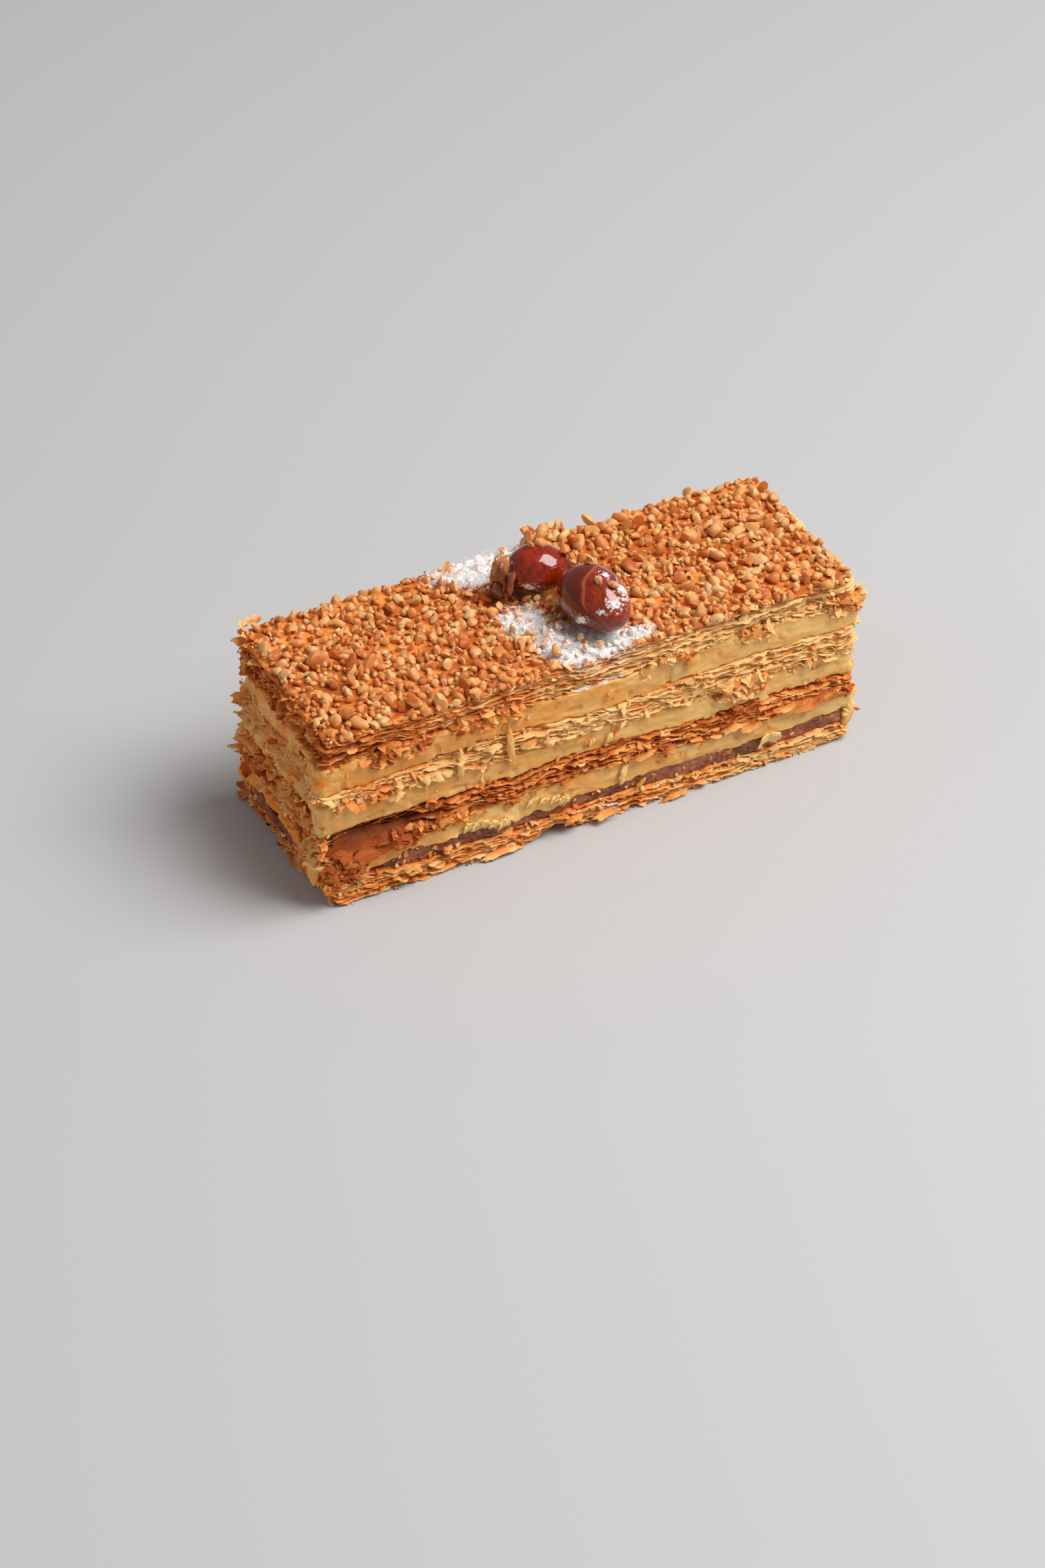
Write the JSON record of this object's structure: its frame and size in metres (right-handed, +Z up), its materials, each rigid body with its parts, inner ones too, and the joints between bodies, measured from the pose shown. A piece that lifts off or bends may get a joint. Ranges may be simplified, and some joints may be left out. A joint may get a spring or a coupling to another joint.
{
  "type": "mille feuille slice",
  "caption": "Long slice of flaky pastry sheets with custard cream and a layer of praline paste, chopped nuts baked onto the top and glazed nuts on it.",
  "frame": {"origin": "under the middle of the slice, on the surface it rests on", "axes": "+X along the slice's length, -Y out of its long front side, +Z up"},
  "size_m": [0.1224, 0.0456, 0.0525],
  "materials": {
    "baked_pastry": "matte, flaky",
    "brown_pastry": "matte, flaky, well browned",
    "pale_pastry": "matte, flaky, pale",
    "nut_topping": "roasted chopped nuts on caramelised pastry",
    "custard_cream": "smooth and moist",
    "praline_paste": "grainy paste",
    "glazed_nut": "boiled sugar glaze",
    "caramel": "thin translucent caramel",
    "sugar": "fine powder"
  },
  "bodies": {
    "root": {"pastry_base": "baked_pastry", "praline_paste": "praline_paste", "cream_lower": "custard_cream", "pastry_lower": "brown_pastry", "cream_middle": "custard_cream", "pastry_middle": "pale_pastry", "cream_upper": "custard_cream", "pastry_top": "nut_topping", "glazed_nut_front": "glazed_nut", "glazed_nut_back": "glazed_nut", "caramel_chip": "caramel"}
  },
  "joints": []
}
